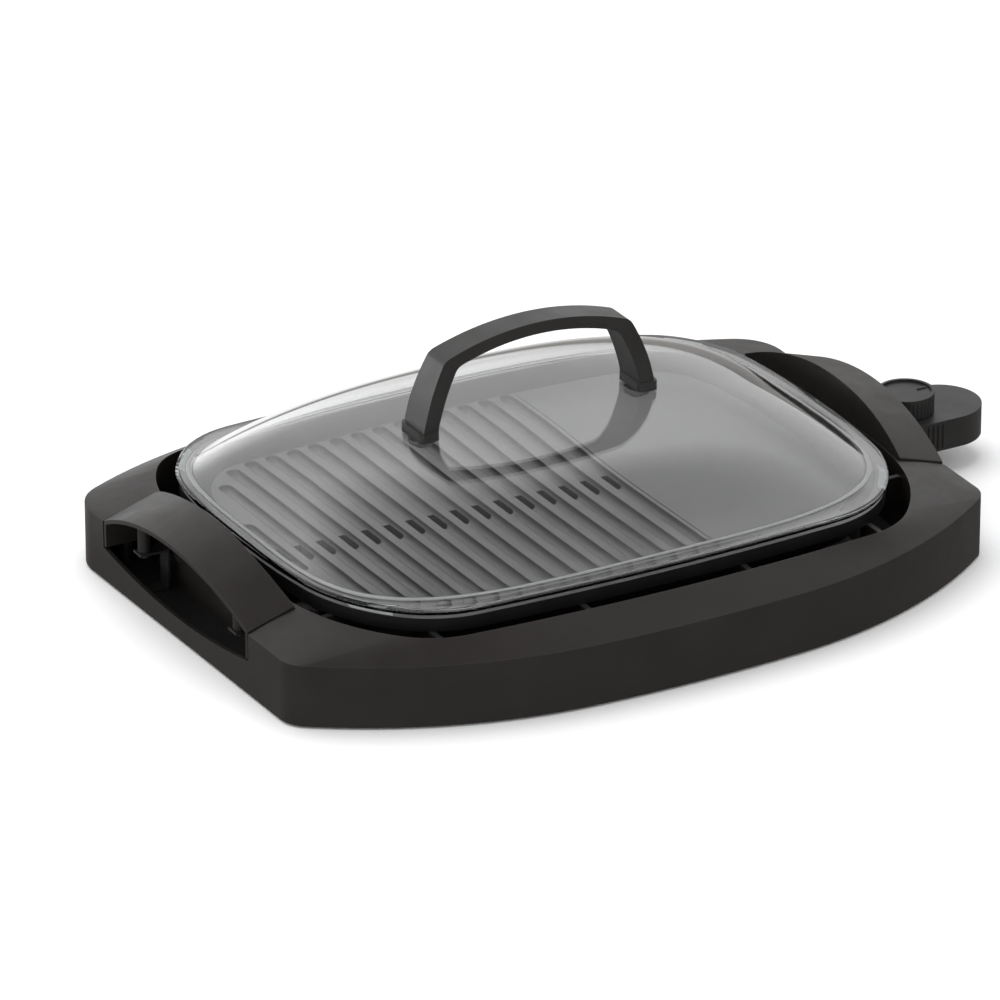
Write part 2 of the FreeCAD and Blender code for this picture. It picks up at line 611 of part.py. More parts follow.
def terminal_guard():
    x0, x1 = GUARD_X
    shell = box(x0, x1, -GUARD_HALF, GUARD_HALF, GUARD_LOW_Z, PLATE_UNDER_Z)
    hollow = box(x0 + 2, x1 + 2, -GUARD_HALF + 1.6, GUARD_HALF - 1.6, GUARD_LOW_Z + 1.6, PLATE_UNDER_Z - 1.6)
    tab = box(GUARD_SCREW_X - 5, x0, -GUARD_HALF, GUARD_HALF, PLATE_UNDER_Z - 1.6, PLATE_UNDER_Z)
    holes = [rod(INSULATOR_R, (x0 - 2, y, CONTROL_Z), (x0 + 4, y, CONTROL_Z))
             for y in (-PIN_SPACING / 2, PIN_SPACING / 2)]
    holes.append(rod(3.4, (x0 - 2, 0, CONTROL_Z), (x0 + 4, 0, CONTROL_Z)))
    holes += [rod(1.8, (GUARD_SCREW_X, y, 20), (GUARD_SCREW_X, y, 40)) for y in GUARD_SCREW_Y]
    relief = box(GUARD_SCREW_X - 6, x0, -PIN_SPACING / 2 - 5, PIN_SPACING / 2 + 5, 20, 36)
    tab = tab.cut(relief)
    return fuse([shell.cut(hollow), tab]).cut(fuse(holes))


def guard_screws():
    return Part.makeCompound([pan_head(GUARD_SCREW_X, y, PLATE_UNDER_Z - 1.6, 1, head_r=3.0, head_h=1.8,
                                       shank_r=1.5, shank=5.4) for y in GUARD_SCREW_Y])


def terminal_insulators():
    beads = []
    for y in (-PIN_SPACING / 2, PIN_SPACING / 2):
        bead = rod(INSULATOR_R, (ELEMENT_END_X - 2, y, CONTROL_Z), (ELEMENT_END_X + 5, y, CONTROL_Z))
        bead = bead.cut(rod(ELEMENT_R, (ELEMENT_END_X - 3, y, CONTROL_Z), (ELEMENT_END_X, y, CONTROL_Z)))
        beads.append(bead.cut(rod(PIN_R, (ELEMENT_END_X - 3, y, CONTROL_Z), (ELEMENT_END_X + 9, y, CONTROL_Z))))
    return Part.makeCompound(beads)


def terminal_pins():
    pins = []
    for y in (-PIN_SPACING / 2, PIN_SPACING / 2):
        pin = rod(PIN_R, (ELEMENT_END_X, y, CONTROL_Z), (PIN_END_X - 1, y, CONTROL_Z))
        nose = Part.makeCone(PIN_R, PIN_R - 0.9, 1, Vector(PIN_END_X - 1, y, CONTROL_Z), Vector(1, 0, 0))
        pins.append(fuse([pin, nose]))
    return Part.makeCompound(pins)


def probe_sleeve():
    x0, x1 = SLEEVE_X
    barrel = rod(4.8, (x0, 0, CONTROL_Z), (x1, 0, CONTROL_Z))
    web = box(x0 + 2, x1 - 2, -2, 2, CONTROL_Z + 3, PLATE_UNDER_Z - 1.6)
    foot = box(x0, x1, -7, 7, PLATE_UNDER_Z - 1.6, PLATE_UNDER_Z)
    bore = rod(PROBE_R + 0.35, (x0 + 2, 0, CONTROL_Z), (x1 + 2, 0, CONTROL_Z))
    return fuse([barrel, web, foot]).cut(bore)


# ---------------------------------------------------------------- lid
# The dome's outer surface: (distance in from the rim, height), then (scale, height)


def dome_section(share, z, shrink):
    """Closed outline of the dome: nearly a rectangle at its foot, an ellipse at its top."""
    half_length = (DOME_HALF_LENGTH - shrink) * share
    half_depth = (DOME_HALF_DEPTH - shrink) * share
    points = []
    for index in range(DOME_POINTS):
        angle = 2 * math.pi * index / DOME_POINTS
        cosine, sine = math.cos(angle), math.sin(angle)
        corner = DOME_BACK_CORNER if sine > 0 else DOME_FRONT_CORNER
        power = 2.0 + corner * min(share, 1.0) ** 4
        reach = (abs(cosine / half_length) ** power + abs(sine / half_depth) ** power) ** (-1 / power)
        points.append(Vector(DOME_X + reach * cosine, PAN_Y + reach * sine, z))
    curve = Part.BSplineCurve()
    curve.interpolate(points, PeriodicFlag=True)
    return Part.Wire(curve.toShape())


def dome_height(share):
    """Height of the dome's outer surface above its flange."""
    if share > 1.0:
        return 0.0
    return max(COVE_RISE, DOME_RISE * (1 - share ** 4.6) ** 1.05)


def dome_outer():
    flange_top = LID_RIM_Z + GLASS
    flange = prism(LID, 0, LID_RIM_Z, flange_top)
    sections = [dome_section(share, flange_top + dome_height(share), 0) for share in DOME_SHARES]
    return flange.fuse(Part.makeLoft(sections, True, False))


def dome_inner():
    """Space under the glass, from the flange's underside up."""
    sections = [dome_section(share, LID_RIM_Z + dome_height(share), DOME_SHRINK) for share in DOME_SHARES[2:]]
    foot = dome_section(1.0, LID_RIM_Z, DOME_SHRINK)
    return Part.makeLoft([foot] + sections, True, False)


def lid_glass():
    glass = dome_outer().cut(dome_inner()).removeSplitter()
    holes = [rod(LID_SCREW_R + 0.8, (x, PAN_Y, 80), (x, PAN_Y, 110)) for x in LID_SCREW_X]
    return glass.cut(fuse(holes))


def foot_block(x, grow, low, high):
    half_x = FOOT_SIZE_X / 2 + grow
    half_y = LID_HANDLE_DEPTH / 2 + grow
    block = box(x - half_x, x + half_x, PAN_Y - half_y, PAN_Y + half_y, low, high)
    upright = [edge for edge in block.Edges if abs(edge.tangentAt(edge.FirstParameter).z) > 0.99]
    return block.makeFillet(3.0, upright)


def handle_gaskets():
    pads = []
    for x, middle in zip(LID_SCREW_X, FOOT_MIDDLES_X):
        pad = foot_block(middle, COLLAR_PROUD, LID_TOP_Z - 8, FOOT_Z).cut(dome_outer())
        pads.append(pad.cut(rod(LID_SCREW_R + 0.8, (x, PAN_Y, 80), (x, PAN_Y, 110))))
    return Part.makeCompound(pads)


def lid_washers():
    washers = []
    inner = dome_inner()
    for x in LID_SCREW_X:
        disc = rod(8.0, (x, PAN_Y, WASHER_LOW_Z), (x, PAN_Y, 105)).common(inner)
        washers.append(disc.cut(rod(LID_SCREW_R + 0.4, (x, PAN_Y, 80), (x, PAN_Y, 110))))
    return Part.makeCompound(washers)


def lid_screws():
    return Part.makeCompound([pan_head(x, PAN_Y, WASHER_LOW_Z, 1, head_r=4.2, head_h=2.6, shank_r=LID_SCREW_R,
                                       shank=18) for x in LID_SCREW_X])


def arch_edges(foot, leg_middle, leg_top, fold_middle, arch_end, arch_top):
    """Line of the lid handle seen along Y, from the right foot over to the left one."""
    right = [foot, leg_middle, leg_top, fold_middle, arch_end]
    right = [Vector(x, 0, FOOT_Z + z) for x, z in right]
    left = [Vector(-point.x, 0, point.z) for point in right]
    top = Vector(0, 0, FOOT_Z + arch_top)
    arcs = [right[0:3], right[2:5], [right[4], top, left[4]], left[4:1:-1], left[2::-1]]
    return [Part.Arc(*arc).toShape() for arc in arcs]


def lid_handle():
    outer = arch_edges((80.5, 0.0), (74.6, 23.5), (65.5, 44.0), (63.5, 46.4), (60.8, 47.9), HANDLE_RISE)
    inner = arch_edges((70.5, 0.0), (65.3, 19.9), (56.8, 38.6), (54.9, 40.9), (52.3, 42.4), HANDLE_RISE - GRIP_THICK)
    feet = [Part.makeLine(Vector(side * 70.5, 0, FOOT_Z), Vector(side * 80.5, 0, FOOT_Z)) for side in (-1, 1)]
    face = Part.Face(Part.Wire(Part.__sortEdges__(outer + inner + feet)))
    face.translate(Vector(GRIP_X, PAN_Y - LID_HANDLE_DEPTH / 2, 0))
    grip = face.extrude(Vector(0, LID_HANDLE_DEPTH, 0))
    for side in (-1, 1):
        edge_y = PAN_Y + side * LID_HANDLE_DEPTH / 2
        far_y = edge_y + side * 10
        points = [Vector(-100, edge_y, FOOT_Z + 18), Vector(-100, edge_y - side * GRIP_TAPER, LID_HANDLE_TOP_Z + 4),
                  Vector(-100, far_y, LID_HANDLE_TOP_Z + 4), Vector(-100, far_y, FOOT_Z + 18)]
        wedge = Part.Face(Part.makePolygon(points + points[:1])).extrude(Vector(200, 0, 0))
        grip = grip.cut(wedge)
    collars = [foot_block(x, COLLAR_PROUD, FOOT_Z, FOOT_Z + COLLAR_HIGH) for x in FOOT_MIDDLES_X]
    grip = fuse([grip] + collars)
    bores = [rod(LID_SCREW_R, (x, PAN_Y, 90), (x, PAN_Y, FOOT_Z + 11)) for x in LID_SCREW_X]
    return grip.cut(fuse(bores))


def lid_pads():
    """Small rests between the lid's flange and the plate's rim, one at each corner."""
    band = prism(LID, 2.2, PLATE_TOP_Z, LID_RIM_Z).cut(prism(LID, 6.0, 0, 80))
    half = LID_PAD_LENGTH / 2
    strips = [box(side * LID_PAD_X - half, side * LID_PAD_X + half, -200, 200, 0, 80) for side in (-1, 1)]
    return Part.makeCompound(strips).common(band)


# ---------------------------------------------------------------- control


def control_body(skin, low, high):
    radius = CONTROL_R - skin
    disc = rod(radius, (CONTROL_DISC_X, 0, low), (CONTROL_DISC_X, 0, high))
    neck = box(CONTROL_START_X + skin, CONTROL_DISC_X, -radius, radius, low, high)
    return fuse([disc, neck])


def gland_bore(radius, near, far):
    return rod(radius, (GLAND_X, near, CONTROL_Z), (GLAND_X, far, CONTROL_Z))


def control_solid():
    body = control_body(0, CONTROL_LOW_Z, CONTROL_TOP_Z)
    ribs = [rod(0.9, (x, side * CONTROL_R, CONTROL_LOW_Z + 2), (x, side * CONTROL_R, CONTROL_TOP_Z - 2))
            for x in GRIP_RIB_X for side in (-1, 1)]
    body = fuse([body] + ribs)
    body = body.cut(control_body(SHELL_WALL, CONTROL_LOW_Z + SHELL_WALL, CONTROL_TOP_Z - SHELL_WALL))
    posts = [rod(3.4, (x, y, CONTROL_LOW_Z), (x, y, CONTROL_TOP_Z - 0.5)) for x, y in CONTROL_SCREW_PLACES]
    body = fuse([body] + posts)
    block = box(CONTROL_START_X - 5, BLOCK_X[1] + 0.1, -BLOCK_HALF - 0.1, BLOCK_HALF + 0.1, BLOCK_LOW_Z - 0.1,
                BLOCK_HIGH_Z + 0.1)
    body = body.cut(block).cut(gland_bore(5.0, 10, 40))
    body = body.cut(rod(3.6, (DIAL_X, 0, CONTROL_TOP_Z - 6), (DIAL_X, 0, 60)))
    pilots = [rod(1.4, (x, y, 5), (x, y, CONTROL_TOP_Z - 3)) for x, y in CONTROL_SCREW_PLACES]
    counterbores = [rod(3.0, (x, y, 5), (x, y, CONTROL_LOW_Z + 2.0)) for x, y in CONTROL_SCREW_PLACES]
    return body.cut(fuse(pilots)).cut(fuse(counterbores))


def control_lower_shell():
    return control_solid().common(box(200, 330, -60, 60, 0, CONTROL_Z))


def control_upper_shell():
    return control_solid().common(box(200, 330, -60, 60, CONTROL_Z, 60))


def control_screws():
    return Part.makeCompound([pan_head(x, y, CONTROL_LOW_Z + 2.0, 1, head_r=2.8, head_h=1.8, shank_r=1.4, shank=13)
                              for x, y in CONTROL_SCREW_PLACES])


def contact_block():
    block = box(BLOCK_X[0], BLOCK_X[1], -BLOCK_HALF, BLOCK_HALF, BLOCK_LOW_Z, BLOCK_HIGH_Z)
    bores = [rod(SOCKET_R, (180, y, CONTROL_Z), (215, y, CONTROL_Z)) for y in (-PIN_SPACING / 2, PIN_SPACING / 2)]
    bores.append(rod(PROBE_R, (180, 0, CONTROL_Z), (240, 0, CONTROL_Z)))
    return block.cut(fuse(bores))


def socket_contacts():
    tubes = []
    for y in (-PIN_SPACING / 2, PIN_SPACING / 2):
        tube = rod(SOCKET_R, (BLOCK_X[0] + 1, y, CONTROL_Z), (215, y, CONTROL_Z))
        tubes.append(tube.cut(rod(PIN_R + 0.35, (180, y, CONTROL_Z), (210, y, CONTROL_Z))))
    return Part.makeCompound(tubes)


def probe_rod():
    stem = rod(PROBE_R, (PROBE_END_X + 2, 0, CONTROL_Z), (228, 0, CONTROL_Z))
    tip = Part.makeSphere(PROBE_R, Vector(PROBE_END_X + 2, 0, CONTROL_Z))
    collar = rod(3.6, (222, 0, CONTROL_Z), (226, 0, CONTROL_Z))
    return fuse([stem, tip, collar])


def bimetal_strip():
    strip = box(228.0, 256.0, -3.0, 3.0, CONTROL_Z - 1.0, CONTROL_Z - 0.2)
    return strip


def contact_arms():
    arms = []
    for side in (-1, 1):
        y = side * PIN_SPACING / 2
        leaf = box(222.2, 270.0, y - 2.5, y + 2.5, CONTROL_Z - 3.0, CONTROL_Z - 2.4)
        tip = rod(1.6, (266.0, y, CONTROL_Z - 2.4), (266.0, y, CONTROL_Z - 1.2))
        arms.append(fuse([leaf, tip]))
    return Part.makeCompound(arms)


def cord_gland():
    """Bush that the supply cord would enter by."""
    wall_y = math.sqrt(CONTROL_R ** 2 - (GLAND_X - CONTROL_DISC_X) ** 2)
    bush = fuse([gland_bore(5.0, wall_y - 5, wall_y + 2), gland_bore(6.4, wall_y + 0.6, wall_y + 3)])
    return bush.cut(gland_bore(3.3, 0, 60)).cut(control_body(0, 0, 60).cut(gland_bore(5.0, 0, 60)))


def control_dial():
    dial = rod(DIAL_R, (DIAL_X, 0, DIAL_LOW_Z), (DIAL_X, 0, DIAL_TOP_Z))
    dish = rod(DIAL_R - 1.8, (DIAL_X, 0, DIAL_TOP_Z - 1.4), (DIAL_X, 0, DIAL_TOP_Z + 1))
    flutes = [rod(0.8, (DIAL_X + (DIAL_R + 0.35) * math.cos(angle), (DIAL_R + 0.35) * math.sin(angle), DIAL_LOW_Z - 1),
                  (DIAL_X + (DIAL_R + 0.35) * math.cos(angle), (DIAL_R + 0.35) * math.sin(angle), DIAL_TOP_Z - 2.2))
              for angle in [2 * math.pi * index / 40 for index in range(40)]]
    socket = rod(3.0, (DIAL_X, 0, DIAL_LOW_Z - 1), (DIAL_X, 0, DIAL_LOW_Z + 6))
    pointer = box(DIAL_X + 8.5, DIAL_X + 14.5, -0.7, 0.7, DIAL_TOP_Z - 1.4, DIAL_TOP_Z - 0.6)
    return fuse([dial.cut(dish), pointer]).cut(Part.makeCompound(flutes)).cut(socket)


def dial_spindle():
    shaft = rod(3.0, (DIAL_X, 0, CONTROL_Z - 1), (DIAL_X, 0, DIAL_LOW_Z + 6))
    cam = rod(4.5, (DIAL_X + 1.0, 0, CONTROL_Z + 1.5), (DIAL_X + 1.0, 0, CONTROL_Z + 4.5))
    return fuse([shaft, cam])


def dial_circlip():
    ring = rod(4.6, (DIAL_X, 0, CONTROL_TOP_Z - 4.0), (DIAL_X, 0, CONTROL_TOP_Z - 3.0))
    return ring.cut(rod(3.0, (DIAL_X, 0, 20), (DIAL_X, 0, 40))).cut(box(DIAL_X, DIAL_X + 8, -1.5, 1.5, 20, 40))


NODES = [
    ("base_frame", base_frame), ("bottom_cover", bottom_cover), ("bottom_screws", bottom_screws),
    ("rubber_feet", rubber_feet), ("left_handle", left_handle), ("right_handle", right_handle),
    ("handle_brackets", handle_brackets), ("handle_screws", handle_screws), ("plate_rests", plate_rests),
    ("drip_tray", drip_tray), ("heat_reflector", heat_reflector),
    ("griddle_plate", griddle_plate),
    ("heating_element", heating_element), ("element_clips", element_clips), ("clip_screws", clip_screws),
    ("terminal_guard", terminal_guard), ("guard_screws", guard_screws),
    ("terminal_insulators", terminal_insulators), ("terminal_pins", terminal_pins), ("probe_sleeve", probe_sleeve),
    ("lid_glass", lid_glass), ("lid_handle", lid_handle), ("handle_gaskets", handle_gaskets),
    ("lid_washers", lid_washers), ("lid_screws", lid_screws), ("lid_pads", lid_pads),
    ("control_lower_shell", control_lower_shell), ("control_upper_shell", control_upper_shell),
    ("control_screws", control_screws), ("contact_block", contact_block), ("socket_contacts", socket_contacts),
    ("probe_rod", probe_rod), ("bimetal_strip", bimetal_strip), ("contact_arms", contact_arms),
    ("cord_gland", cord_gland), ("control_dial", control_dial), ("dial_spindle", dial_spindle),
    ("dial_circlip", dial_circlip),
]

os.makedirs("parts", exist_ok=True)
for name, make in NODES:
    shape = make()
    shape.translate(Vector(-ORIGIN.x, -ORIGIN.y, 0))
    shape.exportStep("parts/" + name + ".step")
    size = shape.BoundBox
    print(name, len(shape.Solids), "solids", round(shape.Volume / 1000, 2), "cm3", shape.isValid(),
          [round(v, 1) for v in (size.XMin, size.XMax, size.YMin, size.YMax, size.ZMin, size.ZMax)])
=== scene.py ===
import json
import math

import bmesh
import bpy
from mathutils import Matrix, Vector


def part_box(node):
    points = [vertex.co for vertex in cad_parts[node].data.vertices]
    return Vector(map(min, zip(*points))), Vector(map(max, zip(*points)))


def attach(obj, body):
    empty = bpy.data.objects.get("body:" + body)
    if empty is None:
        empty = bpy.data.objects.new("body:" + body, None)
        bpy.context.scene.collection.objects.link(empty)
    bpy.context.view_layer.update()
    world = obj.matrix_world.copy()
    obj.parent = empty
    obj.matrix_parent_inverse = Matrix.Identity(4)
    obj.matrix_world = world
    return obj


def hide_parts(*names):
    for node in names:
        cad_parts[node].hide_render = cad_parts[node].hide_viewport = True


# An electric griddle on a white studio floor.  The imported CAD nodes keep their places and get
# softened edges and their finishes.  The glass dome and the bead round its foot are modelled here.
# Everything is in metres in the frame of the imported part: +X to the control, +Y back, +Z up.

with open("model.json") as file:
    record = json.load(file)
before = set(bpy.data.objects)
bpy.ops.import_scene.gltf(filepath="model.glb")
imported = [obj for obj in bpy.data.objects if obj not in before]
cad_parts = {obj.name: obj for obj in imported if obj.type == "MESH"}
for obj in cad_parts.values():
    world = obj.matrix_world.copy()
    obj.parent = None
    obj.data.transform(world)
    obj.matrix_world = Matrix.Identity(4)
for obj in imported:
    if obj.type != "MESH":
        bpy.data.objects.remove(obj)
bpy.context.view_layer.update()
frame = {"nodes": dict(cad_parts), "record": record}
NODES = frame["nodes"]
SLOT_OF = {row["node"]: row["material_slot"] for row in frame["record"]["subparts"]}

MM = 0.001

# Middle of the base's end walls, which the lid's outline is drawn about.
BASE_LOW, BASE_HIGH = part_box("base_frame")
DIAL_LOW, DIAL_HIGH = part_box("control_dial")
MIDDLE_X = (BASE_LOW.x + BASE_HIGH.x) / 2
MIDDLE_Y = (DIAL_LOW.y + DIAL_HIGH.y) / 2
LID_LOW, LID_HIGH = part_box("lid_glass")
LID_HALF_LENGTH = (LID_HIGH.x - LID_LOW.x) / 2
LID_BACK_EDGE = LID_HIGH.y - MIDDLE_Y
LID_FRONT_EDGE = MIDDLE_Y - LID_LOW.y
LID_MIDDLE_Y = (LID_HIGH.y + LID_LOW.y) / 2


# ---------------------------------------------------------------- shader nodes
def new_material(name, **constants):
    """A material with one Principled shader, whose plain sockets are set by name."""
    material = bpy.data.materials.new(name)
    material.use_nodes = True
    shader = material.node_tree.nodes["Principled BSDF"]
    for socket, value in constants.items():
        shader.inputs[socket].default_value = value
    return material, shader


def add(material, kind, inputs=None, **settings):
    """A new node in a material or a world; inputs maps a socket's name or number to a value
    or to another output."""
    node = material.node_tree.nodes.new(kind)
    for key, value in settings.items():
        setattr(node, key, value)
    for key, value in (inputs or {}).items():
        if isinstance(value, bpy.types.NodeSocket):
            material.node_tree.links.new(value, node.inputs[key])
        else:
            node.inputs[key].default_value = value
    return node


def connect(material, output, socket):
    material.node_tree.links.new(output, socket)


def place_of(material, stretch=(1.0, 1.0, 1.0)):
    """Object coordinates in metres, stretched for grain that runs one way."""
    coordinates = add(material, "ShaderNodeTexCoord").outputs["Object"]
    return add(material, "ShaderNodeMapping", {"Vector": coordinates, "Scale": stretch}).outputs["Vector"]


def noise(material, place, scale, detail=3.0, roughness=0.55):
    inputs = {"Vector": place, "Scale": scale, "Detail": detail, "Roughness": roughness}
    return add(material, "ShaderNodeTexNoise", inputs).outputs["Fac"]


def span(material, value, low, high, from_low=0.3, from_high=0.7):
    """Maps a 0-1 pattern onto the range low-high."""
    inputs = {"Value": value, "From Min": from_low, "From Max": from_high, "To Min": low, "To Max": high}
    return add(material, "ShaderNodeMapRange", inputs).outputs["Result"]


def blend_colours(material, share, first, second):
    node = add(material, "ShaderNodeMix", data_type="RGBA")
    for socket, value in ((node.inputs[0], share), (node.inputs[6], first), (node.inputs[7], second)):
        if isinstance(value, bpy.types.NodeSocket):
            connect(material, value, socket)
        elif socket is node.inputs[0]:
            socket.default_value = value
        else:
            socket.default_value = (*value, 1.0)
    return node.outputs[2]


def edge_mask(material, radius, strength):
    """1 along convex and concave edges, 0 on open faces."""
    rounded = add(material, "ShaderNodeBevel", {"Radius": radius}, samples=4).outputs["Normal"]
    straight = add(material, "ShaderNodeNewGeometry").outputs["Normal"]
    likeness = add(material, "ShaderNodeVectorMath", {0: rounded, 1: straight}, operation="DOT_PRODUCT")
    return span(material, likeness.outputs["Value"], strength, 0.0, 0.80, 0.995)


def bump(material, shader, height, distance, strength=1.0):
    node = add(material, "ShaderNodeBump", {"Height": height, "Distance": distance, "Strength": strength})
    connect(material, node.outputs["Normal"], shader.inputs["Normal"])


# ---------------------------------------------------------------- finishes
def lighter(colour, share):
    return tuple(min(1.0, channel * (1 + share)) for channel in colour)


def moulded_plastic(name, colour, roughness, grain=0.45 * MM, specular=0.38, wear_and_highlight=1.2):
    """Spark-textured black moulding: fine grain, faint flow patches, edges made paler, partly by rubbing and
    partly as a painted highlight.
    """
    material, shader = new_material(name, **{"Specular IOR Level": specular})
    place = place_of(material)
    patches = noise(material, place, 22.0, 4.0)
    patchy = span(material, patches, 0.0, 1.0)
    shade = blend_colours(material, patchy, lighter(colour, -0.12), lighter(colour, 0.16))
    # Pale edges: partly rubbed wear, partly a painted highlight standing in for light catching the edges.
    pale_edges = edge_mask(material, 0.9 * MM, 0.55)
    edge_breakup = span(material, noise(material, place, 260.0, 5.0), 0.35, 1.0)
    rubbed_and_highlit = add(material, "ShaderNodeMath", {0: pale_edges, 1: edge_breakup}, operation="MULTIPLY").outputs[0]
    final = blend_colours(material, rubbed_and_highlit, shade, lighter(colour, wear_and_highlight))
    connect(material, final, shader.inputs["Base Color"])
    handled = noise(material, place, 55.0, 6.0, 0.6)
    gloss = span(material, handled, roughness - 0.05, roughness + 0.06)
    connect(material, gloss, shader.inputs["Roughness"])
    texture = noise(material, place, 1.0 / grain, 2.0)
    bump(material, shader, texture, 0.02 * MM, 0.55)
    return material


def coated_plate():
    """Dark non-stick over cast aluminium: metallic flecks, soft mottling, and painted shade that darkens
    faces turned away from upright.
    """
    material, shader = new_material("nonstick_coating", Metallic=0.55, **{"Specular IOR Level": 0.5})
    place = place_of(material)
    mottling = noise(material, place, 70.0, 5.0)
    sprayed = span(material, mottling, 0.0, 1.0)
    ground = blend_colours(material, sprayed, (0.115, 0.112, 0.115), (0.150, 0.147, 0.150))
    flecks = add(material, "ShaderNodeTexVoronoi", {"Vector": place, "Scale": 1300.0})
    bright = span(material, flecks.outputs["Distance"], 0.35, 0.0, 0.04, 0.16)
    coat = blend_colours(material, bright, ground, (0.26, 0.26, 0.27))
    # Painted shade: faces that lean away from upright are darkened to near black.
    normal = add(material, "ShaderNodeNewGeometry").outputs["Normal"]
    facing = add(material, "ShaderNodeSeparateXYZ", {0: normal})
    painted_shade_on_steep = span(material, facing.outputs["Z"], 1.0, 0.0, 0.55, 0.995)
    final = blend_colours(material, painted_shade_on_steep, coat, (0.018, 0.017, 0.017))
    connect(material, final, shader.inputs["Base Color"])
    connect(material, span(material, mottling, 0.28, 0.40), shader.inputs["Roughness"])
    bump(material, shader, noise(material, place, 1500.0, 2.0), 0.015 * MM, 0.5)
    return material


def clear_glass():
    """Tempered glass, pressed: faintly wavy, with a trace of wiping marks; lamps shine through it."""
    material, shader = new_material("clear_glass", IOR=1.5, **{"Transmission Weight": 1.0})
    shader.inputs["Base Color"].default_value = (0.985, 0.99, 0.99, 1.0)
    place = place_of(material)
    wiping = noise(material, place_of(material, (1.0, 3.5, 1.0)), 24.0, 5.0)
    connect(material, span(material, wiping, 0.0, 0.035, 0.45, 0.75), shader.inputs["Roughness"])
    bump(material, shader, noise(material, place, 14.0, 1.0), 0.05 * MM, 0.35)
    clear = add(material, "ShaderNodeBsdfTransparent", {"Color": (0.93, 0.95, 0.945, 1.0)})
    shadow = add(material, "ShaderNodeLightPath").outputs["Is Shadow Ray"]
    both = add(material, "ShaderNodeMixShader", {0: shadow, 1: shader.outputs[0], 2: clear.outputs[0]})
    connect(material, both.outputs[0], material.node_tree.nodes["Material Output"].inputs["Surface"])
    return material


def pressed_bead():
    """Glass bead with a ground, milky skin whose light grey tone is a painted highlight along the dome's
    foot.
    """
    material, shader = new_material("pressed_bead", IOR=1.5, **{"Transmission Weight": 0.75})
    place = place_of(material)
    painted_highlight_tone = noise(material, place, 12.0, 3.0)
    # Painted highlight: the light grey colour makes the bead show as a bright line under any lamp.
    tone = blend_colours(material, painted_highlight_tone, (0.66, 0.67, 0.68), (0.72, 0.73, 0.74))
    connect(material, tone, shader.inputs["Base Color"])
    connect(material, span(material, painted_highlight_tone, 0.26, 0.34), shader.inputs["Roughness"])
    bump(material, shader, noise(material, place, 60.0, 2.0), 0.02 * MM, 0.2)
    return material


def metal(name, colour, roughness, stretch=(1.0, 1.0, 1.0), grain=700.0, metallic=1.0, tint=0.18):
    """Bare or plated metal: drawn or rolled grain, patches of handling, edges brightened by abrasion."""
    material, shader = new_material(name, Metallic=metallic)
    place = place_of(material)
    patches = noise(material, place, 60.0, 5.0)
    patchy = span(material, patches, 0.0, 1.0)
    shade = blend_colours(material, patchy, lighter(colour, -tint), lighter(colour, tint))
    pale_edges = edge_mask(material, 0.5 * MM, 0.6)
    final = blend_colours(material, pale_edges, shade, lighter(colour, 0.35))
    connect(material, final, shader.inputs["Base Color"])
    lines = noise(material, place_of(material, stretch), grain, 3.0)
    connect(material, span(material, lines, roughness - 0.07, roughness + 0.1), shader.inputs["Roughness"])
    bump(material, shader, lines, 0.02 * MM, 0.5)
    return material


def soft_rubber(name, colour, roughness, see_through=0.0):
    """Matt rubber or silicone: dusty patches and a fine orange-peel skin."""
    material, shader = new_material(name, **{"Specular IOR Level": 0.35, "Transmission Weight": see_through})
    place = place_of(material)
    dust = span(material, noise(material, place, 120.0, 6.0), 0.0, 0.45, 0.5, 0.8)
    dusty = blend_colours(material, dust, colour, lighter(colour, 1.1))
    connect(material, dusty, shader.inputs["Base Color"])
    matt = span(material, dust, roughness, roughness + 0.15, 0.0, 0.5)
    connect(material, matt, shader.inputs["Roughness"])
    bump(material, shader, noise(material, place, 1700.0, 2.0), 0.03 * MM, 0.6)
    return material


def fired_ceramic():
    """White glazed bead with faint specks and a creamy tone in cloudy patches."""
    material, shader = new_material("fired_ceramic", **{"Coat Weight": 0.6})
    place = place_of(material)
    clouds = noise(material, place, 150.0, 4.0)
    cream = blend_colours(material, clouds, (0.80, 0.77, 0.70), (0.88, 0.87, 0.83))
    specks = span(material, noise(material, place, 1900.0, 2.0), 0.0, 0.5, 0.66, 0.78)
    final = blend_colours(material, specks, cream, (0.45, 0.40, 0.33))
    connect(material, final, shader.inputs["Base Color"])
    connect(material, span(material, noise(material, place, 300.0), 0.22, 0.38), shader.inputs["Roughness"])
    bump(material, shader, noise(material, place, 500.0, 3.0), 0.03 * MM, 0.4)
    return material


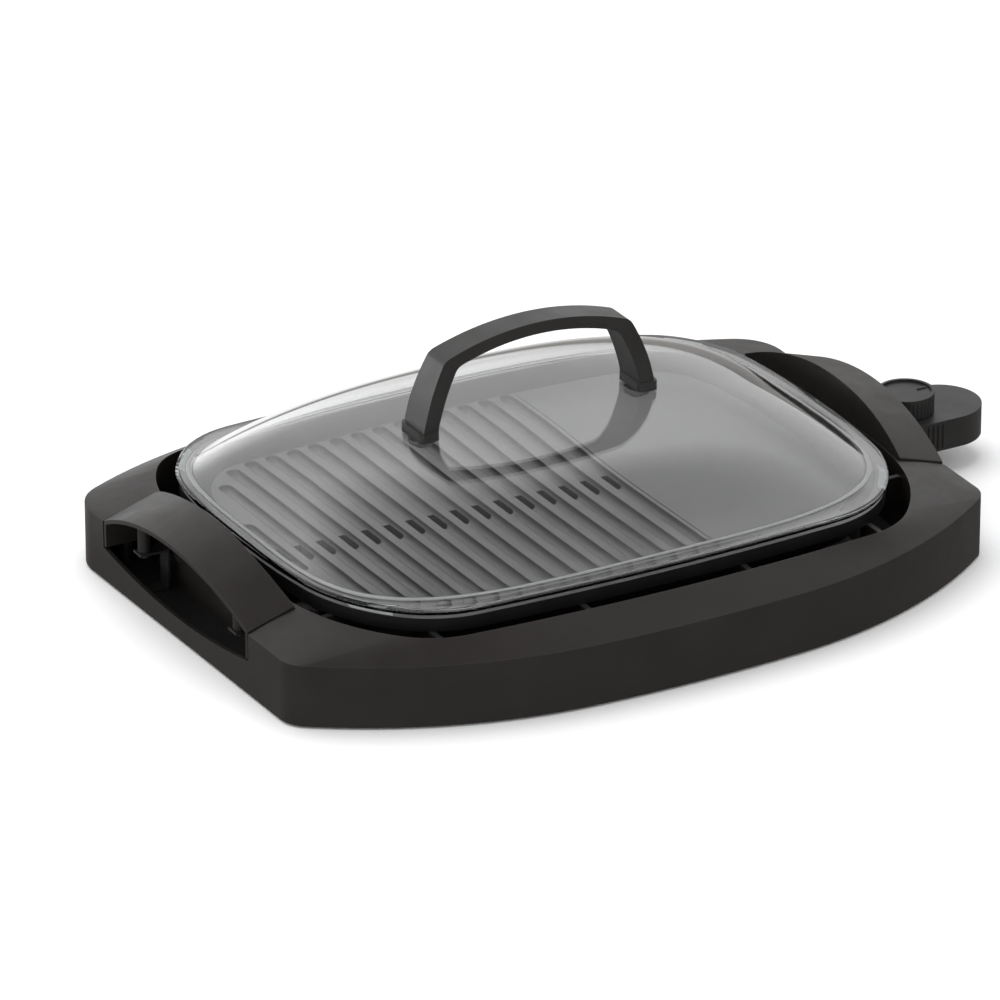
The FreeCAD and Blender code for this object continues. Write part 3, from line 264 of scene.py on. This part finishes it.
FINISHES = {
    # The base's strongly paled edges are mostly a painted highlight along its crease, with a little rubbed
    # wear.
    "base_plastic": moulded_plastic("base_moulding", (0.0125, 0.0104, 0.0094), 0.42, wear_and_highlight=2.6),
    "lid_plastic": moulded_plastic("lid_grip_moulding", (0.0090, 0.0080, 0.0075), 0.36, specular=0.62),
    "control_plastic": moulded_plastic("control_moulding", (0.0160, 0.0150, 0.0147), 0.38),
    "block_plastic": moulded_plastic("phenolic", (0.075, 0.042, 0.022), 0.5, wear_and_highlight=0.5),
    "nonstick": coated_plate(),
    "cast_aluminium": metal("cast_aluminium", (0.60, 0.60, 0.61), 0.45, grain=260.0),
    "bright_sheet": metal("rolled_sheet", (0.30, 0.30, 0.31), 0.36, stretch=(0.05, 1.0, 1.0)),
    "black_sheet": metal("enamelled_sheet", (0.012, 0.012, 0.012), 0.5, metallic=0.0, grain=900.0),
    "dark_screw_steel": metal("black_zinc", (0.03, 0.03, 0.031), 0.45, metallic=0.3, grain=1200.0),
    "screw_steel": metal("zinc_steel", (0.52, 0.52, 0.53), 0.32, grain=1200.0),
    "element_sheath": metal("oxidised_sheath", (0.16, 0.135, 0.12), 0.5, stretch=(0.2, 1.0, 1.0), tint=0.35),
    "ceramic": fired_ceramic(),
    "glass": clear_glass(),
    "pressed_bead": pressed_bead(),
    "rubber": soft_rubber("black_rubber", (0.018, 0.018, 0.018), 0.7),
    "silicone": soft_rubber("black_silicone", (0.022, 0.021, 0.021), 0.6),
    "clear_silicone": soft_rubber("clear_silicone", (0.66, 0.68, 0.68), 0.35, 0.55),
    "brass": metal("brass", (0.70, 0.50, 0.20), 0.3, grain=900.0),
}


def finish_with(piece, slot, finish=None):
    """Gives a piece the finish of a slot of the record, or a special one of the same substance."""
    piece.data.materials.clear()
    piece.data.materials.append(finish or FINISHES[slot])


# ---------------------------------------------------------------- softened CAD nodes
def smooth_by_angle(limit):
    """A node group that drops imported normals and shades smooth between sharp edges."""
    group = bpy.data.node_groups.new("smooth_by_angle", "GeometryNodeTree")
    group.interface.new_socket("Geometry", in_out="INPUT", socket_type="NodeSocketGeometry")
    group.interface.new_socket("Geometry", in_out="OUTPUT", socket_type="NodeSocketGeometry")
    nodes, links = group.nodes, group.links
    start = nodes.new("NodeGroupInput")
    end = nodes.new("NodeGroupOutput")
    angle = nodes.new("GeometryNodeInputMeshEdgeAngle")
    gentle = nodes.new("FunctionNodeCompare")
    gentle.operation = "LESS_EQUAL"
    gentle.inputs["B"].default_value = limit
    forget = nodes.new("GeometryNodeRemoveAttribute")
    forget.inputs["Name"].default_value = "custom_normal"
    edges = nodes.new("GeometryNodeSetShadeSmooth")
    edges.domain = "EDGE"
    faces = nodes.new("GeometryNodeSetShadeSmooth")
    faces.domain = "FACE"
    links.new(angle.outputs["Unsigned Angle"], gentle.inputs["A"])
    links.new(start.outputs[0], forget.inputs["Geometry"])
    links.new(forget.outputs["Geometry"], edges.inputs["Geometry"])
    links.new(gentle.outputs["Result"], edges.inputs["Shade Smooth"])
    links.new(edges.outputs["Geometry"], faces.inputs["Geometry"])
    links.new(faces.outputs["Geometry"], end.inputs[0])
    return group


SMOOTHER = smooth_by_angle(math.radians(32))
WELD_DISTANCE = 0.02 * MM
FLAT_WITHIN = math.radians(0.3)
EDGE_ANGLE = math.radians(28)


def soften(piece, width, segments=2):
    """Modifiers that join a node's faces, round its edges by width and shade it smooth."""
    weld = piece.modifiers.new("weld", "WELD")
    weld.merge_threshold = WELD_DISTANCE
    flatten = piece.modifiers.new("flatten", "DECIMATE")
    flatten.decimate_type = "DISSOLVE"
    flatten.angle_limit = FLAT_WITHIN
    if width:
        rounding = piece.modifiers.new("rounding", "BEVEL")
        rounding.width = width
        rounding.segments = segments
        rounding.limit_method = "ANGLE"
        rounding.angle_limit = EDGE_ANGLE
    smooth = piece.modifiers.new("smooth", "NODES")
    smooth.node_group = SMOOTHER
    weighted = piece.modifiers.new("weighted", "WEIGHTED_NORMAL")
    weighted.keep_sharp = True


EDGE_WIDTH = {
    "base_frame": 0.9 * MM, "left_handle": 0.9 * MM, "right_handle": 0.9 * MM, "griddle_plate": 0.9 * MM,
    "lid_handle": 2.6 * MM, "control_lower_shell": 0.6 * MM, "control_upper_shell": 0.8 * MM,
    "control_dial": 0.4 * MM, "rubber_feet": 0.4 * MM, "bottom_cover": 0.3 * MM,
}
SMALL_EDGE = 0.15 * MM


def finish_cad_nodes():
    for name, node in NODES.items():
        node.data.materials.clear()
        node.data.materials.append(FINISHES[SLOT_OF[name]])
        soften(node, EDGE_WIDTH.get(name, SMALL_EDGE), 4 if name == "lid_handle" else 2)


# ---------------------------------------------------------------- lid outline
LID_FRONT_ARCS = [(1.800, None, 16), (0.070, 45.0, 10), (0.107, 82.0, 10), (0.450, 90.0, 6)]
LID_BACK_ARCS = [(3.000, None, 16), (0.061, 48.0, 10), (0.090, 82.0, 10), (0.450, 90.0, 6)]


def quarter(half_length, half_depth, arcs, inset):
    """Points from the middle of a long side to the end wall, along tangent arcs of
    (radius, direction where it ends, steps).  The first arc ends where the length needs it to."""
    radii = [radius - inset for radius, angle, steps in arcs]
    ends = [math.radians(angle) for radius, angle, steps in arcs[1:]]
    known = radii[1] * math.sin(ends[0])
    for radius, low, high in zip(radii[2:], ends, ends[1:]):
        known += radius * (math.sin(high) - math.sin(low))
    first_end = math.asin((half_length - inset - known) / (radii[0] - radii[1]))
    points, x, y, low = [], 0.0, half_depth - inset, 0.0
    for radius, high, (_, _, steps) in zip(radii, [first_end] + ends, arcs):
        for step in range(steps):
            angle = low + (high - low) * step / steps
            points.append((x + radius * (math.sin(angle) - math.sin(low)),
                           y - radius * (math.cos(low) - math.cos(angle))))
        x += radius * (math.sin(high) - math.sin(low))
        y -= radius * (math.cos(low) - math.cos(high))
        low = high
    return points + [(x, y)]


def lid_outline(inset):
    """The lid's outline moved in by inset, as (direction from the lid's middle, reach) in order."""
    back = quarter(LID_HALF_LENGTH, LID_BACK_EDGE, LID_BACK_ARCS, inset)
    front = quarter(LID_HALF_LENGTH, LID_FRONT_EDGE, LID_FRONT_ARCS, inset)
    right = [(x, y) for x, y in back] + [(x, -y) for x, y in reversed(front)]
    loop = right + [(-x, y) for x, y in reversed(right[1:-1])]
    offset = LID_MIDDLE_Y - MIDDLE_Y
    polar = [(math.atan2(y - offset, x) % math.tau, math.hypot(x, y - offset)) for x, y in loop]
    return sorted(polar)


def reach_at(polar, direction):
    """Reach of an outline in a direction, between its two nearest points."""
    above = next((index for index, (angle, reach) in enumerate(polar) if angle > direction), 0)
    low_angle, low_reach = polar[above - 1]
    high_angle, high_reach = polar[above]
    gap = (high_angle - low_angle) % math.tau
    share = ((direction - low_angle) % math.tau) / gap if gap else 0.0
    return low_reach + (high_reach - low_reach) * share


RING_POINTS = 256


def ring_at(middle_x, z, reach_of):
    """A closed ring; reach_of gives its reach from the middle in each direction."""
    ring = []
    for index in range(RING_POINTS):
        direction = math.tau * index / RING_POINTS
        reach = reach_of(direction)
        x = middle_x + reach * math.cos(direction)
        y = LID_MIDDLE_Y + reach * math.sin(direction)
        ring.append(Vector((x, y, z)))
    return ring


def rim_ring(inset, z):
    polar = lid_outline(inset)
    return ring_at(MIDDLE_X, z, lambda direction: reach_at(polar, direction))


def skin_between(rings, name, close_both_ends=True):
    """A mesh from closed rings with equal counts of points, its ends filled with quads."""
    mesh = bmesh.new()
    loops = [[mesh.verts.new(point) for point in ring] for ring in rings]
    count = len(loops[0])
    for low, high in zip(loops, loops[1:]):
        for index in range(count):
            after = (index + 1) % count
            mesh.faces.new((low[index], low[after], high[after], high[index]))
    if close_both_ends:
        for loop in (loops[0], loops[-1]):
            fill_ring(mesh, loop)
    bmesh.ops.recalc_face_normals(mesh, faces=mesh.faces)
    data = bpy.data.meshes.new(name)
    mesh.to_mesh(data)
    mesh.free()
    for face in data.polygons:
        face.use_smooth = True
    piece = bpy.data.objects.new(name, data)
    bpy.context.scene.collection.objects.link(piece)
    return piece


def fill_ring(mesh, loop):
    """Closes a small ring with quads between its two halves."""
    half = len(loop) // 2
    first, second = loop[:half + 1], [loop[0]] + list(reversed(loop[half:]))
    for a, b, c, d in zip(first, first[1:], second[1:], second):
        corners = []
        for corner in (a, b, c, d):
            if corner not in corners:
                corners.append(corner)
        if len(corners) > 2:
            mesh.faces.new(corners)


# ---------------------------------------------------------------- glass dome
GLASS = 4.0 * MM
RIM_Z = LID_LOW.z
DOME_RISE = LID_HIGH.z - RIM_Z - GLASS
DOME_X = MIDDLE_X - 3.0 * MM
DOME_HALF_LENGTH = 193.0 * MM
DOME_HALF_DEPTH = 143.0 * MM
DOME_BACK_CORNER = 2.6
DOME_FRONT_CORNER = 1.9
DOME_SHRINK = 1.0 * MM
COVE_RISE = 0.9 * MM
DOME_SHARES = [1.03, 1.015, 1.005, 0.995, 0.985, 0.97] + [0.96 - 0.02 * step for step in range(48)]


def dome_reach(share, shrink):
    """Reach of the dome's outline: nearly a rectangle at its foot, an ellipse at its top."""
    half_length = (DOME_HALF_LENGTH - shrink) * share
    half_depth = (DOME_HALF_DEPTH - shrink) * share

    def reach_of(direction):
        cosine, sine = math.cos(direction), math.sin(direction)
        corner = DOME_BACK_CORNER if sine > 0 else DOME_FRONT_CORNER
        power = 2.0 + corner * min(share, 1.0) ** 4
        return (abs(cosine / half_length) ** power + abs(sine / half_depth) ** power) ** (-1 / power)

    return reach_of


def dome_height(share):
    """Height of the dome above its flange, with a small hollow curve round its foot."""
    rise = DOME_RISE * (1 - min(share, 1.0) ** 4.6) ** 1.05
    blend = max(0.0, min(1.0, (1.03 - share) / 0.045))
    return max(rise, COVE_RISE * blend ** 2 * (1.5 - 0.5 * blend))


def rim_round():
    """Half-round outer edge of the flange, from its underside to its top."""
    radius = GLASS / 2
    rings = []
    for degrees in range(-90, 91, 15):
        angle = math.radians(degrees)
        rings.append(rim_ring(radius * (1 - math.cos(angle)), RIM_Z + radius * (1 + math.sin(angle))))
    return rings


def glass_dome():
    """The glass shell: inner skin, rounded rim, outer skin."""
    inner = [ring_at(DOME_X, RIM_Z + dome_height(share) * (share < 1), dome_reach(share, DOME_SHRINK))
             for share in DOME_SHARES[2:]]
    outer = [ring_at(DOME_X, RIM_Z + GLASS + dome_height(share), dome_reach(share, 0.0))
             for share in DOME_SHARES]
    dome = skin_between(list(reversed(inner)) + rim_round() + outer, "dome_glass")
    finish_with(dome, "glass")
    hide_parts("lid_glass")
    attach(dome, "lid")


BEAD_SHARE = 0.992
BEAD_WIDE = 1.0 * MM
BEAD_HIGH = 0.7 * MM
BEAD_STEPS = 8


def foot_bead():
    """Pressed bead on the glass where the dome rises from its flange."""
    rings = []
    for step in range(BEAD_STEPS):
        angle = math.tau * step / BEAD_STEPS
        share = BEAD_SHARE + BEAD_WIDE * math.cos(angle) / DOME_HALF_DEPTH
        lift = dome_height(BEAD_SHARE) + BEAD_HIGH * math.sin(angle)
        rings.append(ring_at(DOME_X, RIM_Z + GLASS + lift, dome_reach(share, 0.0)))
    bead = skin_between(rings + rings[:1], "dome_foot_bead", False)
    finish_with(bead, "glass", FINISHES["pressed_bead"])
    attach(bead, "lid")


# ---------------------------------------------------------------- studio
CAMERA_AZIMUTH = math.radians(-29.58)
CAMERA_ELEVATION = math.radians(25.06)
CAMERA_DISTANCE = 4.862
CAMERA_LENS = 287.7
AIM_LEFT = 19.468 * MM
AIM_UP = 32.001 * MM


def studio_camera():
    """Long lens from the front left, aimed a little to the left of and above the base's middle."""
    turn, tilt = CAMERA_AZIMUTH, CAMERA_ELEVATION
    back = Vector((math.sin(turn) * math.cos(tilt), -math.cos(turn) * math.cos(tilt), math.sin(tilt)))
    right = Vector((math.cos(turn), math.sin(turn), 0.0))
    base_point = Vector((MIDDLE_X, MIDDLE_Y, BASE_LOW.z))
    up = back.cross(right)
    camera_data = bpy.data.cameras.new("camera")
    camera_data.lens = CAMERA_LENS
    camera_data.clip_end = 50.0
    camera = bpy.data.objects.new("camera", camera_data)
    camera.location = base_point - right * AIM_LEFT + up * AIM_UP + back * CAMERA_DISTANCE
    camera.rotation_mode = "QUATERNION"
    camera.rotation_quaternion = Matrix((right, up, back)).transposed().to_quaternion()
    bpy.context.scene.collection.objects.link(camera)
    bpy.context.scene.camera = camera


def soft_box(name, place, aim, size, power):
    """Rectangular studio lamp at place, turned towards aim; reflections don't show it."""
    lamp_data = bpy.data.lights.new(name, "AREA")
    lamp_data.shape = "RECTANGLE"
    lamp_data.size, lamp_data.size_y = size
    lamp_data.energy = power
    lamp = bpy.data.objects.new(name, lamp_data)
    lamp.location = place
    lamp.rotation_mode = "QUATERNION"
    lamp.rotation_quaternion = (Vector(aim) - Vector(place)).to_track_quat("-Z", "Y")
    lamp.visible_glossy = False
    lamp.visible_transmission = False
    bpy.context.scene.collection.objects.link(lamp)


FLOOR_HALF = 8.0


def studio_floor():
    """White floor; in glossy surfaces it shows as a dim card that is white behind the griddle."""
    half = FLOOR_HALF
    corners = [(-half, -half, 0.0), (half, -half, 0.0), (half, half, 0.0), (-half, half, 0.0)]
    data = bpy.data.meshes.new("studio_floor")
    data.from_pydata(corners, [], [(0, 1, 2, 3)])
    floor = bpy.data.objects.new("studio_floor", data)
    bpy.context.scene.collection.objects.link(floor)
    material, shader = new_material("white_floor", Roughness=0.9, **{"Specular IOR Level": 0.1})
    tone = noise(material, place_of(material), 3.0)
    shade = blend_colours(material, tone, (0.93, 0.93, 0.93), (0.95, 0.95, 0.95))
    connect(material, shade, shader.inputs["Base Color"])
    across = add(material, "ShaderNodeSeparateXYZ", {0: place_of(material)}).outputs
    behind = span(material, across["Y"], 0.0, 1.0, 0.14, 0.36)
    not_right = span(material, across["X"], 1.0, 0.0, 0.08, 0.40)
    white = add(material, "ShaderNodeMath", {0: behind, 1: not_right}, operation="MULTIPLY").outputs[0]
    card_tone = blend_colours(material, white, (0.27, 0.26, 0.25), (1.0, 1.0, 1.0))
    card = add(material, "ShaderNodeEmission", {"Color": card_tone})
    glossy = add(material, "ShaderNodeLightPath").outputs["Is Glossy Ray"]
    both = add(material, "ShaderNodeMixShader", {0: glossy, 1: shader.outputs[0], 2: card.outputs[0]})
    connect(material, both.outputs[0], material.node_tree.nodes["Material Output"].inputs["Surface"])
    data.materials.append(material)


# (height of the direction, brightness) from the horizon to straight overhead
SKY_STOPS = [(0.0, 0.8), (0.2, 0.95), (0.42, 1.0), (0.60, 1.25), (0.80, 0.42), (1.0, 0.20)]
HORIZON_GLOW = 2.8


def studio_world():
    """Plain white where seen directly; as light and in reflections it is brightest low on the
    left and dark overhead."""
    world = bpy.data.worlds.new("studio")
    world.use_nodes = True
    tree = world.node_tree
    direction = add(world, "ShaderNodeTexCoord").outputs["Generated"]
    split = add(world, "ShaderNodeSeparateXYZ", {0: direction}).outputs
    ramp = add(world, "ShaderNodeValToRGB", {0: split["Z"]})
    ends = ramp.color_ramp.elements
    for element, (position, value) in zip(ends, (SKY_STOPS[0], SKY_STOPS[-1])):
        element.position = position
        element.color = (value, value, value, 1.0)
    for position, value in SKY_STOPS[1:-1]:
        ends.new(position).color = (value, value, value, 1.0)
    low = span(world, split["Z"], 1.0, 0.0, 0.06, 0.30)
    left = span(world, split["X"], 1.0, 0.0, -0.05, 0.42)
    glow = add(world, "ShaderNodeMath", {0: low, 1: left}, operation="MULTIPLY").outputs[0]
    lit = blend_colours(world, glow, ramp.outputs[0], (HORIZON_GLOW,) * 3)
    seen = add(world, "ShaderNodeLightPath").outputs["Is Camera Ray"]
    shown = blend_colours(world, seen, lit, (1.0, 1.0, 1.0))
    connect(world, shown, tree.nodes["Background"].inputs["Color"])
    tree.nodes["Background"].inputs["Strength"].default_value = 1.0
    bpy.context.scene.world = world


def studio():
    studio_camera()
    studio_floor()
    studio_world()
    soft_box("overhead", (-0.3, 0.4, 2.6), (0.0, 0.0, 0.0), (2.6, 2.6), 55.0)
    bpy.context.scene.view_settings.view_transform = "Standard"


# ---------------------------------------------------------------- scene
studio()
finish_cad_nodes()
glass_dome()
foot_bead()
